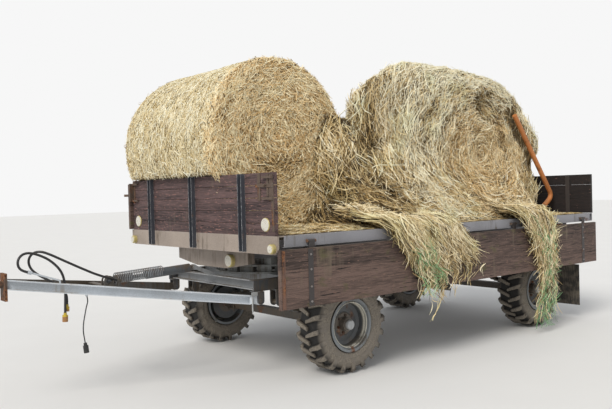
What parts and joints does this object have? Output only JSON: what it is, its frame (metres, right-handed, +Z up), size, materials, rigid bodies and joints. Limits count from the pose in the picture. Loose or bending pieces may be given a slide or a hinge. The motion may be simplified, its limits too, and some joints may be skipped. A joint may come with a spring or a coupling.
{
  "type": "hay wagon",
  "caption": "Two-axle farm wagon with a timber drop-side deck, steered front turntable and drawbar, loaded with round hay bales.",
  "frame": {"origin": "on the ground under the middle of the wagon, halfway along its length with the drawbar", "axes": "+Z up, +Y towards the rear along the length, +X towards the left side"},
  "size_m": [2.32, 5.901, 2.5993],
  "materials": {
    "frame_paint": "dark slate paint, dusty and worn",
    "beam_paint": "faded light beige paint with dirt",
    "stake_paint": "dark blue-grey paint",
    "bogie_paint": "grey paint, stained",
    "drawbar_paint": "light grey paint, scuffed",
    "axle_paint": "brown grey dirt over paint",
    "rim_paint": "blue grey paint with dust",
    "rusty_iron": "brown rust",
    "bare_steel": "dull steel with grease",
    "board_wood": "dark weathered planks with peeling paint",
    "floor_wood": "worn floor planks",
    "tyre_rubber": "black rubber caked with dry mud",
    "flap_rubber": "dusty black rubber",
    "lamp_plastic": "milky lens",
    "hay": "dry straw-coloured hay",
    "hose_rubber": "black hose rubber",
    "plug_plastic": "black plug"
  },
  "bodies": {
    "wagon": {"frame_rails": "frame_paint", "cross_members": "frame_paint", "front_beams": "beam_paint", "deck_floor": "floor_wood", "headboard_planks": "board_wood", "headboard_stakes": "stake_paint", "corner_latches": "rusty_iron", "lamps": "lamp_plastic", "rail_hinges": "rusty_iron", "turntable_upper": "frame_paint", "rear_axle": "axle_paint", "rear_subframe": "frame_paint", "mud_flaps": "flap_rubber", "flap_arms": "frame_paint", "hay_bale_front": "hay", "hay_bale_rear": "hay", "load_bar": "rusty_iron"},
    "bogie": {"turntable_lower": "frame_paint", "bogie_rails": "bogie_paint", "bogie_beams": "bogie_paint", "front_axle": "axle_paint"},
    "drawbar": {"drawbar_leg_left": "drawbar_paint", "drawbar_leg_right": "drawbar_paint", "drawbar_tie": "drawbar_paint", "tow_eye": "rusty_iron", "air_hose_long": "hose_rubber", "air_hose_short": "hose_rubber", "light_cable": "hose_rubber", "hose_couplings": "rusty_iron", "cable_plug": "plug_plastic"},
    "strut_upper": {"strut_tube": "drawbar_paint"},
    "strut_lower": {"strut_rod": "bare_steel"},
    "left_board": {"left_board_planks": "board_wood", "left_board_irons": "rusty_iron"},
    "right_board": {"right_board_planks": "board_wood", "right_board_irons": "rusty_iron"},
    "tailboard": {"tailboard_planks": "board_wood", "tailboard_irons": "rusty_iron"},
    "wheel_front_left": {"tyre_front_left": "tyre_rubber", "rim_front_left": "rim_paint"},
    "wheel_front_right": {"tyre_front_right": "tyre_rubber", "rim_front_right": "rim_paint"},
    "wheel_rear_left": {"tyre_rear_left": "tyre_rubber", "rim_rear_left": "rim_paint"},
    "wheel_rear_right": {"tyre_rear_right": "tyre_rubber", "rim_rear_right": "rim_paint"}
  },
  "joints": [
    {"name": "steer", "type": "hinge", "parent": "wagon", "child": "bogie", "pos_m": [0, -0.4945, 0.766], "axis": [0, 0, 1], "range_deg": [-37, 37]},
    {"name": "drawbar_tilt", "type": "hinge", "parent": "bogie", "child": "drawbar", "pos_m": [0, -1.1245, 0.6], "axis": [-1, 0, 0], "range_deg": [-24, 12]},
    {"name": "strut_swing", "type": "hinge", "parent": "bogie", "child": "strut_upper", "pos_m": [0, -1.2945, 0.824], "axis": [-1, 0, 0], "range_deg": [-28.5, 14.5]},
    {"name": "strut_slide", "type": "slide", "parent": "strut_upper", "child": "strut_lower", "axis": [0, -0.9988, -0.0496], "range_m": [-0.0525, 0.104]},
    {"name": "left_board_drop", "type": "hinge", "parent": "wagon", "child": "left_board", "pos_m": [1.114, 0, 1.056], "axis": [0, -1, 0], "range_deg": [0, 180]},
    {"name": "right_board_drop", "type": "hinge", "parent": "wagon", "child": "right_board", "pos_m": [-1.114, 0, 1.056], "axis": [0, -1, 0], "range_deg": [0, 180]},
    {"name": "tailboard_drop", "type": "hinge", "parent": "wagon", "child": "tailboard", "pos_m": [0, 2.9395, 1.056], "axis": [-1, 0, 0], "range_deg": [0, 180]},
    {"name": "wheel_front_left_spin", "type": "hinge", "parent": "bogie", "child": "wheel_front_left", "pos_m": [0.86, -0.4945, 0.37], "axis": [1, 0, 0], "continuous": true},
    {"name": "wheel_front_right_spin", "type": "hinge", "parent": "bogie", "child": "wheel_front_right", "pos_m": [-0.86, -0.4945, 0.37], "axis": [1, 0, 0], "continuous": true},
    {"name": "wheel_rear_left_spin", "type": "hinge", "parent": "wagon", "child": "wheel_rear_left", "pos_m": [0.86, 2.0855, 0.37], "axis": [1, 0, 0], "continuous": true},
    {"name": "wheel_rear_right_spin", "type": "hinge", "parent": "wagon", "child": "wheel_rear_right", "pos_m": [-0.86, 2.0855, 0.37], "axis": [1, 0, 0], "continuous": true}
  ],
  "couplings": [
    {"joint": "strut_swing", "follows": "drawbar_tilt", "ratio": 1.17},
    {"joint": "strut_slide", "follows": "drawbar_tilt", "m_per_rad": -0.245}
  ]
}
